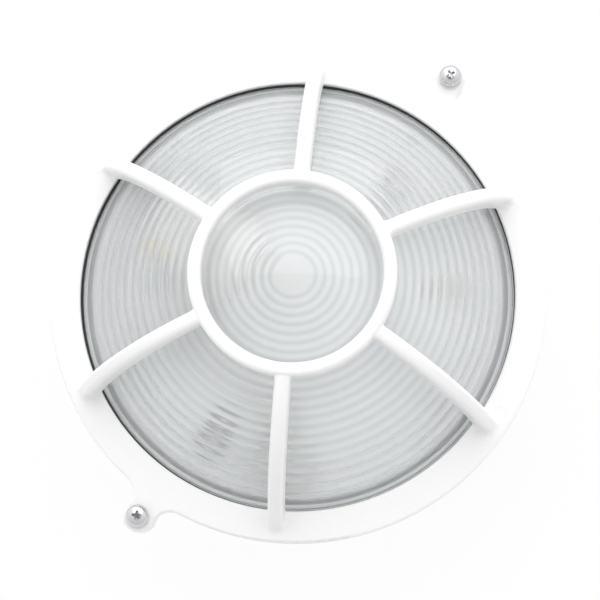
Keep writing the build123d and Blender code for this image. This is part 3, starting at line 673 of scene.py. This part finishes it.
def pin_marks():
    """Two shallow round marks beside one rib's foot."""
    for side in (-1, 1):
        bpy.ops.object.select_all(action="DESELECT")
        place = (PIN_REACH * MM, side * PIN_SIDE * MM, (FACE + 1 - PIN_DEPTH) * MM)
        bpy.ops.mesh.primitive_cylinder_add(
            vertices=40, radius=PIN_RADIUS * MM, depth=2 * MM, location=place
        )
        bpy.context.object.name = f"pin_{side}"
        bpy.ops.object.transform_apply(location=True, rotation=True, scale=True)
    bpy.data.objects["pin_-1"].select_set(True)
    bpy.ops.object.join()
    return bpy.context.object


ribs = shape_rib()
spread_copies(ribs, RIB_COUNT)
guard = copy_of("guard_frame", "guard_casting")
combine(guard, ribs, "UNION")
pins = pin_marks()
spread_copies(pins, RIB_COUNT)
combine(guard, pins, "DIFFERENCE")
even_shading(guard, 35)
add(guard, "cover", "white_casting", "guard_frame")


# The cover screws


def cross_wing(turn):
    """One tapered bar of the cross recess, standing on the screw's axis."""
    middle = pivot(0, CROSS_HEIGHT)
    bpy.ops.object.select_all(action="DESELECT")
    bpy.ops.mesh.primitive_cube_add(size=MM, location=middle)
    wing = bpy.context.object
    bpy.ops.object.transform_apply(location=True, rotation=True, scale=True)
    bpy.ops.object.mode_set(mode="EDIT")
    bpy.ops.mesh.select_all(action="SELECT")
    bpy.ops.transform.resize(value=(CROSS_SPAN, CROSS_WIDTH, CROSS_DEPTH), center_override=middle)
    select_near(wing, lambda co: co.z < 3 * MM)
    bpy.ops.transform.resize(value=(*CROSS_TAPER, 1), center_override=middle)
    bpy.ops.mesh.select_all(action="SELECT")
    bpy.ops.transform.rotate(value=turn, orient_axis="Z", center_override=(0, 0, 0))
    bpy.ops.object.mode_set(mode="OBJECT")
    return wing


def cover_screw(name):
    """Domed pan head with a cross recess over a threaded shank, head on 0."""
    shank = []
    depth = 0.0
    while depth < THREAD_END:
        shank += [
            (THREAD_CREST, -depth - 0.1), (THREAD_ROOT, -depth - 0.4),
            (THREAD_ROOT, -depth - 0.5), (THREAD_CREST, -depth - 0.75),
        ]
        depth += THREAD_PITCH
    tip = [(SCREW_TIP, -SCREW_LENGTH), (0, -SCREW_LENGTH)]
    screw = lathe(name, SCREW_HEAD + shank + tip, 64)
    for turn in (0, TURN / 4):
        combine(screw, cross_wing(turn), "DIFFERENCE")
    smooth(screw, 40)
    return screw


for name, body, side in (("screw_upper", "upper_screw", 1), ("screw_lower", "lower_screw", -1)):
    screw = cover_screw(name)
    pick(screw)
    bpy.ops.transform.rotate(
        value=CROSS_TURN * side, orient_axis="Z", center_override=(0, 0, 0)
    )
    bpy.ops.transform.translate(value=(0, side * SCREW_REACH * MM, SCREW_SEAT * MM))
    bpy.ops.object.transform_apply(location=True, rotation=True, scale=True)
    add(screw, body, "plated_steel", "cover_" + name)


# Floor, light and camera


def paper_floor():
    """A white floor that is bright to the eye and still takes the object's shadow."""
    f = finish("floor_paper")
    path = f.node("ShaderNodeLightPath")
    seen = f.math("MAXIMUM", path, f.node("ShaderNodeLightPath", output=3))
    seen = f.math("MAXIMUM", seen, f.node("ShaderNodeLightPath", output=6))
    paper = f.node("ShaderNodeBsdfDiffuse", {"Color": grey(FLOOR_PAPER)})
    white = f.node("ShaderNodeEmission", {"Color": grey(1.0), "Strength": 1.0})
    f.surface(f.node("ShaderNodeMixShader", {0: seen * FLOOR_WHITE, 1: paper, 2: white}))


def studio_light():
    """Soft light all round, brighter from the top of the picture and dim straight overhead."""
    world = bpy.data.worlds.new("studio")
    bpy.context.scene.world = world
    world.use_nodes = True
    w = Finish(world.node_tree)
    direction = w.node("ShaderNodeTexCoord", output=0)
    towards = {0: direction, 1: TOWARDS_TOP[:]}
    lean = w.node("ShaderNodeVectorMath", towards, output=1, operation="DOT_PRODUCT")
    up = w.node("ShaderNodeSeparateXYZ", {0: direction}, output=2)
    level = w.ramp(lean, -0.9, 0.8) * SKY_RISE + SKY_LEVEL
    level = level * (1 - w.ramp(up, 0.92, 0.98) * OVERHEAD_LOSS)
    level = w.math("MAXIMUM", level, w.node("ShaderNodeLightPath"))
    sky = w.node("ShaderNodeBackground", {"Color": grey(1.0), "Strength": level})
    w.surface(sky, "ShaderNodeOutputWorld")


def softbox(name, place, size, watts):
    """A square lamp that faces the light's middle."""
    lamp = bpy.data.lights.new(name, "AREA")
    lamp.size = size
    lamp.energy = watts
    holder = bpy.data.objects.new(name, lamp)
    bpy.context.scene.collection.objects.link(holder)
    holder.location = place
    towards = Vector((0, 0, 0.05)) - Vector(place)
    holder.rotation_euler = towards.to_track_quat("-Z", "Y").to_euler()


bpy.ops.object.select_all(action="DESELECT")
bpy.ops.mesh.primitive_plane_add(size=FLOOR_SIZE, location=(0, 0, -FLOOR_DROP))
floor = bpy.context.object
floor.name = "floor"
paper_floor()
floor.data.materials.append(finishes["floor_paper"])

studio_light()
softbox("top_softbox", SOFTBOX_PLACE, SOFTBOX_SIZE, SOFTBOX_WATTS)

camera = bpy.data.objects.new("camera", bpy.data.cameras.new("camera"))
bpy.context.scene.collection.objects.link(camera)
camera.data.lens = CAMERA_LENS
camera.data.sensor_width = SENSOR
camera.data.sensor_fit = "HORIZONTAL"
camera.data.clip_start = 0.01
backward = CAMERA_RIGHT.cross(CAMERA_UP)
axes = Matrix((CAMERA_RIGHT, CAMERA_UP, backward)).transposed()
camera.matrix_world = Matrix.Translation(CAMERA_PLACE) @ axes.to_4x4()
bpy.context.scene.camera = camera

bpy.context.scene.view_settings.view_transform = "Standard"
